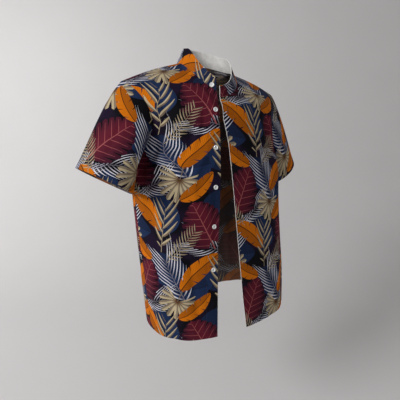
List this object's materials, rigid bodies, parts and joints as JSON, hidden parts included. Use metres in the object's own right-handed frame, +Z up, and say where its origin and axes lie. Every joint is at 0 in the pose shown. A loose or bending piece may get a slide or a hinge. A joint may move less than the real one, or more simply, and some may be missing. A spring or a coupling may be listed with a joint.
{
  "type": "hawaiian shirt",
  "caption": "Short-sleeved printed shirt with a stand collar, worn open down the front and held up at the neck, hollow inside.",
  "frame": {"origin": "middle of the neck, level with the inner end of the right shoulder seam, where the wearer holds the shirt up", "axes": "+Z up, +X to the wearer's left, +Y to the wearer's back, so that the front faces -Y"},
  "size_m": [0.679, 0.2955, 0.7361],
  "materials": {
    "printed_cotton": "matt cotton poplin with a tropical leaf print",
    "facing": "plain pale cotton on the inside of the collar",
    "thread": "matt sewing thread",
    "button": "glossy white, four holes"
  },
  "bodies": {
    "root": {"back": "printed_cotton", "button_1": "button", "button_2": "button", "button_3": "button", "button_4": "button", "button_5": "button", "button_6": "button", "collar": "printed_cotton", "front_left": "printed_cotton", "front_right": "printed_cotton", "sleeve_left": "printed_cotton", "sleeve_right": "printed_cotton"}
  },
  "joints": []
}
